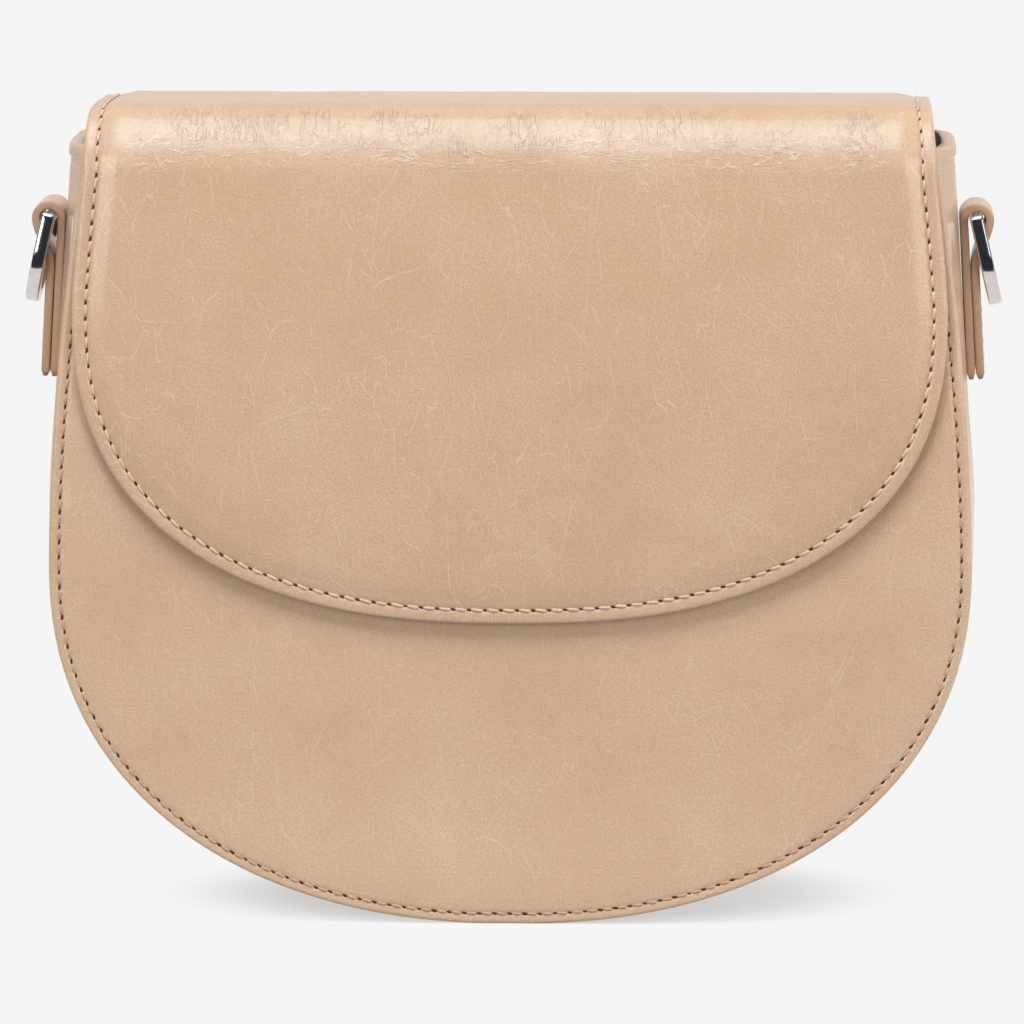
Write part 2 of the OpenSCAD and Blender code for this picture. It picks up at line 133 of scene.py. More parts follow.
def outline(a, b, z0, low, draw, top, n, p):
    """Dense U of an outline from its top left, round the bottom, to its top right."""
    z = np.linspace(top, z0, 200, endpoint=False)
    r = np.clip((z - z0) / (top - z0), 0, None)
    side = np.stack([a - draw * r**p, z], 1)
    slope = draw * p * np.power(np.maximum(r, 1e-9), p - 1) / (top - z0)
    side_n = np.stack([np.sqrt(1 + slope**2), 0 * z], 1)
    t = np.linspace(0, math.pi / 2, 400)
    c, s = np.cos(t).clip(0), np.sin(t)
    lowp = np.stack([a * c ** (2 / n), np.maximum(low, z0 - b * s ** (2 / n))], 1)
    g = np.stack([c ** (2 - 2 / n) / a, -(s ** (2 - 2 / n)) / b], 1)
    lown = g / np.linalg.norm(g, axis=1, keepdims=True)
    half = np.concatenate([side, lowp])
    half_n = np.concatenate([side_n, lown])
    flip = np.array([-1, 1])
    return (np.concatenate([half * flip, half[::-1][1:]]),
            np.concatenate([half_n * flip, half_n[::-1][1:]]))


def round_yoke(w, top, low, r):
    """U of a rectangle with round lower corners."""
    a = np.linspace(math.pi, 1.5 * math.pi, 60)
    left = np.concatenate([
        np.stack([np.full(60, -w), np.linspace(top, low + r, 60, endpoint=False)], 1),
        np.stack([-w + r + r * np.cos(a), low + r + r * np.sin(a)], 1),
        np.stack([np.linspace(-w + r, 0, 61)[1:], np.full(60, low)], 1)])
    left_n = np.concatenate([
        np.tile([-1.0, 0], (60, 1)), np.stack([np.cos(a), np.sin(a)], 1), np.tile([0, -1.0], (60, 1))])
    flip = np.array([-1, 1])
    return np.concatenate([left, left[::-1][1:] * flip]), np.concatenate([left_n, left_n[::-1][1:] * flip])


def split_u(points, normals, n_side, n_low):
    """Even points on both sides and the bottom, divided where the outline faces down at 45 degrees."""
    ang = np.degrees(np.arctan2(-normals[:, 1], np.abs(normals[:, 0])))
    mid = len(points) // 2
    i = int(np.argmax(ang[:mid] > 45))
    j = len(points) - 1 - i
    parts = [resample(points[s], normals[s], c)
             for s, c in ((slice(0, i + 1), n_side), (slice(i, j + 1), n_low), (slice(j, None), n_side))]
    p = np.concatenate([parts[0][0], parts[1][0][1:], parts[2][0][1:]])
    n = np.concatenate([parts[0][1], parts[1][1][1:], parts[2][1][1:]])
    return p, n


def edge_distance(q, line):
    """Distance of each 2D point from a dense line."""
    out = np.empty(len(q))
    for k in range(0, len(q), 512):
        out[k:k + 512] = np.sqrt(((q[k:k + 512, None] - line[None]) ** 2).sum(-1)).min(1)
    return out


def coons(left, right, top, low):
    """Grid from four border lines; left and right run down, top and low run to the right."""
    m, n = len(left), len(top)
    v = np.linspace(0, 1, m)[:, None, None]
    u = np.linspace(0, 1, n)[None, :, None]
    return ((1 - u) * left[:, None] + u * right[:, None] + (1 - v) * top[None] + v * low[None]
            - (1 - u) * (1 - v) * left[0] - u * (1 - v) * right[0]
            - (1 - u) * v * left[-1] - u * v * right[-1])


def sheet_piece(name, dense, n_side, n_low, profile, back_t, place, pillow, path, mats):
    """A flat piece of leather with a shaped edge, inside a U outline. A path may carry it on at its top.

    profile: (inset, depth) from the back face round the edge to the front face.
    place(x, z, depth) gives a 3D point of the flat part and its uv.
    pillow(x, z, d) gives the extra depth of the front face at distance d from the edge.
    path: a list of stations, or None; station(x, depth) gives the 3D point and its uv.
    """
    pts, nrm = split_u(*dense, n_side, n_low)
    nu, k = len(pts), len(profile)
    line = dense[0][::2]
    verts, uvs, faces, mi = [], [], [], []

    def put(p3, uv):
        verts.append(p3)
        uvs.append(uv)
        return len(verts) - 1

    ring = np.zeros((k, nu), int)
    for a, (ins, dep) in enumerate(profile):
        q = pts - ins * nrm
        for b in range(nu):
            ring[a, b] = put(*place(q[b, 0], q[b, 1], dep))
    for a in range(k - 1):
        for b in range(nu - 1):
            faces.append((ring[a, b], ring[a, b + 1], ring[a + 1, b + 1], ring[a + 1, b]))
            mi.append(0 if profile[a + 1][1] < back_t - 0.05 or profile[a][0] < 1.0 else 1)

    def fill(a, front):
        ins, dep = profile[a]
        share = 1 if front else 0.8          # the back face swells a little less
        q = pts - ins * nrm
        left, low = q[:n_side + 1], q[n_side:n_side + n_low + 1]
        right = q[n_side + n_low:][::-1]
        u = np.linspace(0, 1, n_low + 1)[:, None]
        top = (1 - u) * left[0] + u * right[0]
        g = coons(left, right, top, low)
        d = edge_distance(g.reshape(-1, 2), line).reshape(g.shape[:2])
        idx = np.zeros(g.shape[:2], int)
        for r in range(g.shape[0]):
            for c in range(g.shape[1]):
                if c == 0:
                    idx[r, c] = ring[a, r]
                elif c == g.shape[1] - 1:
                    idx[r, c] = ring[a, nu - 1 - r]
                elif r == g.shape[0] - 1:
                    idx[r, c] = ring[a, n_side + c]
                else:
                    x, z = g[r, c]
                    idx[r, c] = put(*place(x, z, dep + pillow(x, z, d[r, c]) * share))
        for r in range(g.shape[0] - 1):
            for c in range(g.shape[1] - 1):
                faces.append((idx[r, c], idx[r, c + 1], idx[r + 1, c + 1], idx[r + 1, c]))
                mi.append(0 if front else 1)
        tdep = [dep + (pillow(g[0, c, 0], g[0, c, 1], d[0, c]) * share if 0 < c < n_low else 0)
                for c in range(n_low + 1)]
        return idx[0], [g[0, c, 0] for c in range(n_low + 1)], tdep

    f_idx, f_x, f_t = fill(k - 1, True)
    b_idx, b_x, b_t = fill(0, False)
    # Closed loop of the cross-section at the top: left edge, front, right edge, back
    left_x = [pts[0, 0] - ins * nrm[0, 0] for ins, _ in profile]
    loop = list(ring[:, 0]) + list(f_idx[1:-1]) + list(ring[::-1, nu - 1]) + list(b_idx[1:-1][::-1])
    lx = left_x + f_x[1:-1] + [-x for x in left_x[::-1]] + b_x[1:-1][::-1]
    lt = [t for _, t in profile] + f_t[1:-1] + [t for _, t in profile[::-1]] + b_t[1:-1][::-1]
    lm = []
    nf = len(f_x) - 2
    for j in range(len(loop)):
        t0, t1 = lt[j], lt[(j + 1) % len(loop)]
        back = j >= 2 * k + nf - 1 or (min(t0, t1) > back_t - 0.05 and (j < 3 or j > 2 * k + nf - 4))
        lm.append(1 if back else 0)
    if path:
        prev = loop
        m = len(loop)
        for station in path:
            cur = [put(*station(x, t)) for x, t in zip(lx, lt)]
            for j in range(m):
                faces.append((prev[j], prev[(j + 1) % m], cur[(j + 1) % m], cur[j]))
                mi.append(lm[j])
            prev = cur
    else:
        faces.append(tuple(loop))
        mi.append(0)
    return mesh_object(name, verts, faces, uvs, mats, mi)


# Materials
def srgb(r, g, b):
    f = lambda c: c / 12.92 if c <= 0.04045 else ((c + 0.055) / 1.055) ** 2.4
    return (f(r / 255), f(g / 255), f(b / 255), 1)


class Nodes:
    """Short names for the nodes that the materials share."""

    def __init__(self, nt):
        self.nt = nt
        nt.nodes.clear()

    def node(self, kind, **props):
        n = self.nt.nodes.new(kind)
        for k, v in props.items():
            setattr(n, k, v)
        return n

    def link(self, a, b):
        self.nt.links.new(a, b)
        return b

    def set(self, socket, value):
        if hasattr(value, "is_output"):
            self.nt.links.new(value, socket)
        else:
            socket.default_value = value

    def surface(self, values):
        for name, value in values.items():
            self.set(self.bsdf.inputs[name], value)

    def split(self, vec):
        n = self.node("ShaderNodeSeparateXYZ")
        self.set(n.inputs[0], vec)
        return n.outputs

    def space(self):
        return self.node("ShaderNodeTexCoord").outputs["Object"]

    def math(self, op, a, b=0.0, clamp=False):
        n = self.node("ShaderNodeMath", operation=op, use_clamp=clamp)
        self.set(n.inputs[0], a)
        self.set(n.inputs[1], b)
        return n.outputs[0]

    def mul(self, a, b, clamp=False):
        return self.math("MULTIPLY", a, b, clamp)

    def add(self, a, b):
        return self.math("ADD", a, b)

    def sub(self, a, b):
        return self.math("SUBTRACT", a, b)

    def ridge(self, v, width):
        """Lines where v crosses one half."""
        return self.range(self.math("ABSOLUTE", self.sub(v, 0.5)), 0.0, width, 1.0, 0.0)

    def noise(self, vec, scale, detail=4.0, rough=0.5, out="Fac"):
        n = self.node("ShaderNodeTexNoise")
        self.set(n.inputs["Vector"], vec)
        self.set(n.inputs["Scale"], scale)
        self.set(n.inputs["Detail"], detail)
        self.set(n.inputs["Roughness"], rough)
        return n.outputs[out]

    def voronoi(self, vec, scale, feature="DISTANCE_TO_EDGE"):
        n = self.node("ShaderNodeTexVoronoi", feature=feature)
        self.set(n.inputs["Vector"], vec)
        self.set(n.inputs["Scale"], scale)
        return n.outputs["Distance"]

    def range(self, v, a, b, c=0.0, d=1.0, smooth=True):
        n = self.node("ShaderNodeMapRange", interpolation_type="SMOOTHSTEP" if smooth else "LINEAR")
        self.set(n.inputs[0], v)
        for i, x in enumerate((a, b, c, d)):
            self.set(n.inputs[i + 1], x)
        return n.outputs[0]

    def mix(self, fac, a, b):
        n = self.node("ShaderNodeMix", data_type="RGBA")
        self.set(n.inputs[0], fac)
        self.set(n.inputs[6], a)
        self.set(n.inputs[7], b)
        return n.outputs[2]

    def vmath(self, op, a, b=(0, 0, 0), scale=None):
        n = self.node("ShaderNodeVectorMath", operation=op)
        self.set(n.inputs[0], a)
        if op == "SCALE":
            self.set(n.inputs["Scale"], scale)
        else:
            self.set(n.inputs[1], b)
        return n.outputs[0]

    def warp(self, vec, scale, amount):
        off = self.vmath("SUBTRACT", self.noise(vec, scale, 2.0, out="Color"), (0.5, 0.5, 0.5))
        return self.vmath("ADD", vec, self.vmath("SCALE", off, scale=amount))

    def stretch(self, vec, sx, sy, angle=0.0, shift=(0, 0)):
        n = self.node("ShaderNodeMapping")
        self.set(n.inputs["Vector"], vec)
        n.inputs["Location"].default_value = (shift[0], shift[1], 0)
        n.inputs["Rotation"].default_value = (0, 0, angle)
        n.inputs["Scale"].default_value = (sx, sy, 1)
        return n.outputs[0]

    def bump(self, height, strength, distance, normal=None):
        n = self.node("ShaderNodeBump")
        self.set(n.inputs["Height"], height)
        n.inputs["Strength"].default_value = strength
        n.inputs["Distance"].default_value = distance
        if normal is not None:
            self.link(normal, n.inputs["Normal"])
        return n.outputs[0]


def new_material(name):
    m = bpy.data.materials.new(name)
    m.use_nodes = True
    N = Nodes(m.node_tree)
    N.out = N.node("ShaderNodeOutputMaterial")
    N.bsdf = N.node("ShaderNodeBsdfPrincipled")
    N.link(N.bsdf.outputs[0], N.out.inputs[0])
    return m, N


# LIGHT and DARK are lighter and darker tones of the leather; in the creases they also serve as painted
# highlight and painted shade.
LIGHT, DARK = srgb(234, 212, 190), srgb(186, 149, 118)


def leather(name, base, seed, creases, cracks):
    """Smooth glazed leather: fine grain, soft mottling, thin light cracks and, where it bends, creases with
    painted shade and painted highlights.
    """
    m, N = new_material(name)
    uvn = N.node("ShaderNodeUVMap", uv_map="UVMap").outputs[0]
    uv = N.vmath("ADD", uvn, (seed, seed * 0.7, 0))
    across, along = N.split(uvn)[:2]

    cloud = N.noise(N.warp(uv, 1.5, 0.4), 3.0, 5.0, 0.6)
    speck = N.noise(uv, 170.0, 2.0, 0.6)
    tone = N.add(N.mul(N.sub(cloud, 0.5), 0.55), N.mul(N.sub(speck, 0.5), 0.75))
    col = N.mix(N.mul(tone, 1.6, clamp=True), base, LIGHT)
    col = N.mix(N.mul(tone, -1.6, clamp=True), col, DARK)

    # Fine pebble grain, about 0.6 mm, with smaller pores
    grain = N.range(N.voronoi(N.warp(uv, 40.0, 0.01), 165.0, "F1"), 0.0, 0.8, smooth=False)
    height = N.add(N.mul(grain, 0.45), N.mul(speck, 0.9))
    nrm = N.bump(height, 0.85, 0.00008)
    curl = N.noise(N.warp(uv, 22.0, 0.03), 62.0, 3.0, 0.6)
    curl = N.ridge(curl, 0.045)
    col = N.mix(N.mul(curl, 0.13, clamp=True), col, LIGHT)
    nrm = N.bump(curl, 0.40, 0.00006, nrm)

    # Thin cracks in the glaze: broken nets of fine lines that run mostly down and outward
    nets = []
    for scale, ang, sx, half, lo, off in ((8.0, 0.45, 0.30, 0.009, 0.44, 0.0),
                                          (13.0, -0.50, 0.30, 0.013, 0.45, 2.7),
                                          (26.0, 0.15, 0.34, 0.026, 0.46, 5.9)):
        v = N.warp(N.stretch(uv, 1.0, sx, ang, (off, off * 1.7)), scale * 0.8, 0.45 / scale)
        line = N.range(N.voronoi(v, scale), half * 0.35, half, 1.0, 0.0)
        where = N.range(N.noise(N.vmath("ADD", uv, (off + 1.1, 3.3 - off, 0)), 3.2, 5.0, 0.65),
                        lo - 0.04, lo + 0.14)
        broken = N.range(N.noise(N.vmath("ADD", uv, (off, 9.0, 0)), scale * 1.3, 3.0, 0.6), 0.43, 0.56)
        nets.append(N.mul(N.mul(line, where), broken))
    crack = N.math("MAXIMUM", N.math("MAXIMUM", nets[0], nets[1]), nets[2])
    if creases:
        vv = N.mul(along, 100.0)
        vv = N.add(vv, N.mul(N.sub(N.noise(uv, 5.0, 4.0, 0.6), 0.5), 14.0))
        bend = N.mul(N.range(vv, 184.0, 188.0), N.range(vv, 196.0, 201.0, 1.0, 0.0))
        # The creases stop short of the seams at the sides
        inner = N.range(N.math("ABSOLUTE", across), 0.86, 0.94, 1.0, 0.0)
        bend = N.mul(bend, inner)
        crack = N.mul(crack, N.sub(1.0, N.mul(bend, 0.8)))
    col = N.mix(N.mul(crack, 0.34 * cracks, clamp=True), col, LIGHT)
    nrm = N.bump(crack, 0.6 * cracks, 0.00006, nrm)
    nrm = N.bump(N.noise(N.warp(uv, 3.0, 0.2), 9.0, 3.0, 0.5), 0.5, 0.0004, nrm)

    if creases:
        # Across the bend: upright crinkles and cells with sunken borders, darkened in colour as painted
        # shade. Below it: level folds, lightened in colour as a painted highlight.
        cells = []
        for scale, sy, half, lo, off in ((16.0, 0.8, 0.026, 0.44, 1.3), (38.0, 0.9, 0.055, 0.42, 6.1)):
            v = N.warp(N.stretch(uv, 1.0, sy, 0.1 + off * 0.1, (off, off)), scale * 0.6, 1.2 / scale)
            line = N.range(N.voronoi(v, scale), half * 0.2, half, 1.0, 0.0)
            keep = N.range(N.noise(N.vmath("ADD", uv, (off, 7.7, 0)), scale * 0.6, 3.0), lo, lo + 0.12)
            cells.append(N.mul(line, keep))
        cell_groove_shade = N.mul(N.math("MAXIMUM", cells[0], cells[1]), bend)
        puff = N.mul(N.noise(N.warp(N.stretch(uv, 1.0, 1.4), 6.0, 0.12), 40.0, 4.0, 0.65), bend)
        nrm = N.bump(puff, 0.9, 0.0003, nrm)
        nrm = N.bump(N.mul(cell_groove_shade, -1.0), 0.5, 0.00014, nrm)
        # Painted shade: the cells' sunken borders are darkened in colour as well as bumped.
        col = N.mix(N.mul(cell_groove_shade, 0.16, clamp=True), col, DARK)
        crinkle_groove_shade = N.noise(N.warp(N.stretch(uv, 1.0, 0.38, 0.06), 8.0, 0.10), 44.0, 2.5, 0.6)
        crinkle_groove_shade = N.mul(N.ridge(crinkle_groove_shade, 0.042), N.mul(bend, N.range(N.noise(uv, 9.0, 3.0), 0.34, 0.60)))
        nrm = N.bump(N.mul(crinkle_groove_shade, -1.0), 0.9, 0.00018, nrm)
        # Painted shade: the crinkles' grooves are darkened in colour as well as bumped.
        col = N.mix(N.mul(crinkle_groove_shade, 0.20, clamp=True), col, DARK)
        low = N.mul(N.range(vv, 180.0, 184.0), N.range(vv, 187.0, 190.0, 1.0, 0.0))
        low = N.mul(low, N.range(N.noise(N.vmath("ADD", uv, (5.5, 0, 0)), 6.0, 3.0), 0.30, 0.46))
        low = N.mul(low, inner)
        fold = N.noise(N.warp(N.stretch(uv, 1.0, 4.0), 7.0, 0.22), 8.0, 3.0, 0.55)
        fold = N.mul(N.ridge(fold, 0.030), low)
        nrm = N.bump(fold, 0.8, 0.00014, nrm)
        # Painted highlight: the folds' crests are lightened in colour as well as bumped.
        col = N.mix(N.mul(fold, 0.55, clamp=True), col, LIGHT)

    rough = N.add(N.mul(N.noise(uv, 5.0, 4.0), 0.12), 0.40)
    N.surface({"Base Color": col, "Roughness": N.add(rough, N.mul(speck, -0.05)), "Normal": nrm,
               "Coat Weight": 0.9, "Coat Roughness": 0.18, "Specular IOR Level": 0.35})
    return m


def plain_leather(name, base, light, dark, rough=0.62):
    """Matt inner leather with a fine nap. It reads the object's own space, so any mesh can carry it."""
    m, N = new_material(name)
    v = N.vmath("SCALE", N.space(), scale=10.0)
    tone = N.noise(N.warp(v, 2.0, 0.3), 4.0, 5.0, 0.6)
    fine = N.noise(v, 140.0, 3.0, 0.7)
    c = N.mix(N.range(tone, 0.35, 0.7), dark, base)
    N.surface({"Base Color": N.mix(N.mul(fine, 0.5), c, light), "Roughness": N.add(N.mul(fine, 0.15), rough),
               "Normal": N.bump(fine, 0.4, 0.0001)})
    return m


def cloth(name, base, light):
    """Plain-woven lining, about 0.4 mm from thread to thread."""
    m, N = new_material(name)
    v = N.space()
    x, y, z = N.split(N.warp(v, 60.0, 0.0003))
    k = 2 * math.pi / 0.0008
    wx = N.math("SINE", N.mul(N.add(x, y), k))
    wz = N.math("SINE", N.mul(N.add(z, N.mul(y, 0.3)), k))
    w = N.add(N.mul(N.mul(wx, wz), 0.5), 0.5)
    fleck = N.noise(v, 900.0, 3.0, 0.7)
    N.surface({"Base Color": N.mix(N.mul(N.add(w, fleck), 0.4), base, light), "Roughness": 0.8,
               "Sheen Weight": 0.25, "Normal": N.bump(w, 0.6, 0.0002)})
    return m


def thread(name, base, dark):
    """Twisted thread; a stitch's uv runs along it and round it."""
    m, N = new_material(name)
    x, y = N.split(N.node("ShaderNodeUVMap", uv_map="UVMap").outputs[0])[:2]
    twist = N.math("SINE", N.add(N.mul(x, 1100.0), N.mul(y, 620.0)))
    t = N.add(N.mul(twist, 0.5), 0.5)
    N.surface({"Base Color": N.mix(N.mul(t, 0.8), dark, base), "Roughness": N.add(N.mul(t, -0.1), 0.6),
               "Sheen Weight": 0.2, "Normal": N.bump(t, 0.5, 0.00008)})
    return m


def hole(name):
    m, N = new_material(name)
    # Painted shade: the dark brown stands for the depth of a stitch hole; the slot itself is a flat disc on
    # the leather.
    c = N.mix(N.noise(N.space(), 900.0, 2.0), srgb(60, 32, 18), srgb(104, 62, 38))
    N.surface({"Base Color": c, "Roughness": 0.9})
    return m


def metal(name):
    """Polished plate with faint polishing marks."""
    m, N = new_material(name)
    v = N.space()
    st = N.node("ShaderNodeMapping")
    N.link(v, st.inputs["Vector"])
    st.inputs["Scale"].default_value = (3000, 500, 220)
    fine = N.noise(st.outputs[0], 1.0, 3.0, 0.6)
    spots = N.noise(v, 420.0, 3.0)
    # The warm grey is partly the plate's own colour and partly a painted reflection of the tan leather round
    # it.
    c = N.mix(N.range(spots, 0.3, 0.7), (0.66, 0.62, 0.61, 1), (0.73, 0.69, 0.67, 1))
    N.surface({"Base Color": c, "Metallic": 1.0, "Roughness": N.add(N.mul(fine, 0.06), 0.08),
               "Normal": N.bump(spots, 0.15, 0.00008)})
    return m


def board(name):
    m, N = new_material(name)
    n = N.noise(N.space(), 1200.0, 4.0, 0.7)
    N.surface({"Base Color": N.mix(n, srgb(116, 92, 68), srgb(156, 130, 102)), "Roughness": 0.85,
               "Normal": N.bump(n, 0.4, 0.0002)})
    return m


M_FLAP = leather("flap_leather", srgb(205, 170, 139), 0.0, True, 1.0)
M_SHELL = leather("shell_leather", srgb(207, 173, 142), 4.7, False, 0.7)
M_GUSSET = leather("gusset_leather", srgb(206, 173, 145), 9.1, False, 0.3)
M_TAB = leather("tab_leather", srgb(200, 165, 134), 13.3, False, 0.15)
M_EDGE = plain_leather("painted_edge", srgb(186, 150, 120), srgb(202, 168, 138), srgb(172, 136, 106), 0.5)
M_INNER = plain_leather("lining_leather", srgb(186, 158, 128), srgb(206, 180, 150), srgb(168, 140, 112))
M_CLOTH = cloth("lining_cloth", srgb(168, 144, 116), srgb(196, 174, 146))
M_THREAD = thread("cream_thread", srgb(238, 212, 187), srgb(198, 162, 131))
M_TAN = thread("tan_thread", srgb(216, 182, 156), srgb(178, 138, 108))
M_HOLE_SHADE = hole("stitch_hole_shade")
M_METAL = metal("ring_metal")
M_STEEL = metal("magnet_metal")
M_BOARD = board("board")

CAD_LOOKS = {"front_stiffener": M_BOARD, "back_stiffener": M_BOARD, "flap_top_core": M_BOARD,
             "flap_front_core": M_BOARD, "front_lining": M_CLOTH, "back_lining": M_CLOTH,
             "gusset_lining": M_CLOTH, "panel_magnet": M_STEEL, "flap_magnet": M_STEEL}
for node_name, look in CAD_LOOKS.items():
    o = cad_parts[node_name]
    o.data.materials.clear()
    o.data.materials.append(look)

# Outlines
LOW_N = 2.2
PANEL_U = outline(BODY_W / 2, WIDEST_Z / (1 - (FOOT_L / BODY_W) ** LOW_N) ** (1 / LOW_N), WIDEST_Z, 0.0, 9.0,
                  MOUTH_Z, LOW_N, 1.7)
FLAP_HALF, FLAP_TOP = 104.1, 101.3          # half the flap's width at its widest line, and at the top
FLAP_WIDEST, FLAP_LOW, YOKE_H = 148.0, 73.0, 38.0
FRONT_Z, BACK_Z = TOP_Z - BEND_B, TOP_Z - BACK_R
FLAP_U = outline(FLAP_HALF, FLAP_WIDEST - FLAP_LOW, FLAP_WIDEST, FLAP_LOW, FLAP_HALF - FLAP_TOP, FRONT_Z,
                 2.43, 1.2)
YOKE_U = round_yoke(FLAP_TOP, BACK_Z, BACK_Z - YOKE_H, 18.0)


def edge_profile(t, s, r, groove, rise, reach):
    """Cross-section of a sheet, t thick: from its back face, round the edge (radius r), to its front face.

    The front has a groove along the seam, s in from the edge, and rises behind it up to reach.
    """
    back = [(reach, t), (reach * 0.45, t), (r * 1.6, t)]
    back += [(r * (1 - math.sin(a)), t - r * (1 - math.cos(a))) for a in np.radians((0, 30, 60, 90))]
    front = [(r * (1 - math.sin(a)), r * (1 - math.cos(a))) for a in np.radians((90, 60, 30, 0))]
    front += [(r * 1.6, -0.04), (s * 0.62, -0.03), (s - 0.55, 0.02), (s - 0.3, groove * 0.6), (s, groove),
              (s + 0.3, groove * 0.6), (s + 0.6, -0.02), (s + 1.4, -rise * 0.24), (s + 2.4, -rise * 0.50),
              (s + 3.5, -rise * 0.76), (s + 4.6, -rise * 0.93), (reach, -rise)]
    return back + front


# Flap
RISE = 0.85
FLAP_SEAM = 3.3          # the flap's stitches lie this far in from its edge
flap_profile = edge_profile(FLAP_T, FLAP_SEAM, 0.80, 0.30, RISE, 9.0)
BEND_T = np.linspace(0, math.pi / 2, 200)
BEND_RUN = np.concatenate(
    [[0], np.cumsum(np.hypot(np.diff(BEND_A * np.cos(BEND_T)), np.diff(BEND_B * np.sin(BEND_T))))])
V_FRONT = FRONT_Z + BEND_RUN[-1]          # path length where the flat top starts
V_MID = V_FRONT + (OUT_Y - BEND_A)
V_BACK = V_MID + (OUT_Y - BACK_R)
V_YOKE = V_BACK + BACK_R * math.pi / 2


def ripple(x, v, amount):
    """Small unevenness of hand-made leather, in mm."""
    return amount * (noise.noise(Vector((x * 0.05, v * 0.05, 1.7)))
                     + 0.5 * noise.noise(Vector((x * 0.14, v * 0.14, 5.1))))


def flap_pillow(x, z, d):
    """How far the flap's face sinks behind its raised border, which fades out toward the bend."""
    s = 1 - math.exp(-max(d - 9, 0) / 16)
    fall = (max(0, z - 145) / (FRONT_Z - 145)) ** 2
    return -0.75 * s * (1 - fall) + ripple(x, z, 0.10) * s


def place_front(x, z, t):
    return (x, -OUT_Y + t, z), (x, z)


def lift(x, y):
    """How far the top of the flap stands off a level plane: crowned in the middle, lower toward the back."""
    t = min(1, max(0, (y + 12) / 42))
    return 0.25 * (1 - (x / FLAP_TOP) ** 2) * math.exp(-((y - 4) / 24) ** 2) - 1.1 * t * t * (3 - 2 * t)


def front_bend(t, depth):
    """Point and normal (y, z) of the front bend: t = 0 at its lower end, a quarter turn at the top."""
    ny, nz = -math.cos(t) / BEND_A, math.sin(t) / BEND_B
    m = math.hypot(ny, nz)
    ny, nz = ny / m, nz / m
    y, z = -OUT_Y + BEND_A * (1 - math.cos(t)), FRONT_Z + BEND_B * math.sin(t)
    return (y - depth * ny, z - depth * nz), (ny, nz)


def on_path(t, x, v, g):
    """Depth of a point along the bends and the top. g is what is left of the face's own swelling."""
    if t < -0.85 * RISE:
        t = -RISE + (t + RISE) * g + ripple(x, v, 0.10)
    return t


# Rows of the mesh over the two bends and over each half of the top
FORE_N, REAR_N, TOP_N = 16, 14, 8


def front_station(k):
    a = k / FORE_N * math.pi / 2
    v = FRONT_Z + float(np.interp(a, BEND_T, BEND_RUN))
    # The flap is thinner where it passes over the front panel's top
    thin = 1 - 0.30 * min(1, max(0, (k - 1) / 3)) * min(1, max(0, (FORE_N - k) / 6))

    def at(x, t):
        t = on_path(t, x, v, 1 - k / FORE_N)
        (y, z), _ = front_bend(a, t * thin if t > 0 else t)
        return (x * taper(y), y, z + lift(x, y) * math.sin(a)), (x, v)
    return at


def back_station(k):
    a = k / REAR_N * math.pi / 2
    v = V_YOKE - BACK_R * a

    def at(x, t):
        t = on_path(t, x, v, 1 - k / REAR_N)
        y = OUT_Y - BACK_R + (BACK_R - t) * math.cos(a)
        z = BACK_Z + (BACK_R - t) * math.sin(a) + lift(x, y) * math.sin(a)
        return (x * taper(y), y, z), (x, v)
    return at


def taper(y):
    """The top of the flap is a little narrower than its front."""
    return 1 - 0.011 * (1 - (1 - min(1, max(0, (y + OUT_Y) / 12))) ** 2)


def top_station(y):
    v = V_MID + y

    def at(x, t):
        return (x * taper(y), y, TOP_Z - on_path(t, x, v, 0) + lift(x, y)), (x, v)
    return at


def flap_path(station, rows, y_edge):
    """Stations over one bend and on along the top, from y_edge to the middle."""
    return ([station(k) for k in range(1, rows + 1)]
            + [top_station(y_edge * (1 - k / TOP_N)) for k in range(1, TOP_N + 1)])


flap_fore = sheet_piece("flap_fore", FLAP_U, 44, 64, flap_profile, FLAP_T, place_front, flap_pillow,
                        flap_path(front_station, FORE_N, -OUT_Y + BEND_A), (M_FLAP, M_INNER))
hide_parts("flap_front_leather", "flap_front_lining", "flap_front_core", "flap_top_leather",
            "flap_top_lining", "flap_top_core")


def yoke_pillow(x, z, d):
    return ripple(x, z, 0.08)


def place_back(x, z, t):
    return (x * taper(OUT_Y - t), OUT_Y - t, z), (x, V_YOKE + (BACK_Z - z))


flap_back = sheet_piece("flap_back", YOKE_U, 18, 64, flap_profile, FLAP_T, place_back, yoke_pillow,
                        flap_path(back_station, REAR_N, OUT_Y - BACK_R), (M_FLAP, M_INNER))
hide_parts("flap_yoke", "yoke_lining")


# Front and back panels
PANEL_SEAM = 2.45
panel_profile = edge_profile(PANEL_T, PANEL_SEAM, 0.7, 0.22, 0.3, 8.0)


def panel_pillow(x, z, d):
    return -0.12 * (1 - math.exp(-max(d - 8, 0) / 14)) + ripple(x, z, 0.04)


front_leather = sheet_piece("front_leather", PANEL_U, 40, 72, panel_profile, PANEL_T,
                            lambda x, z, t: ((x, FRONT_Y + t, z), (x, z)), panel_pillow,
                            None, (M_SHELL, M_BOARD))
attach(front_leather, "bag")
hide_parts("front_panel")
back_leather = sheet_piece("back_leather", PANEL_U, 40, 72, panel_profile, PANEL_T,
                           lambda x, z, t: ((x, BACK_Y - t, z), (x + 400, z)), panel_pillow,
                           None, (M_SHELL, M_BOARD))
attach(back_leather, "bag")
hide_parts("back_panel")


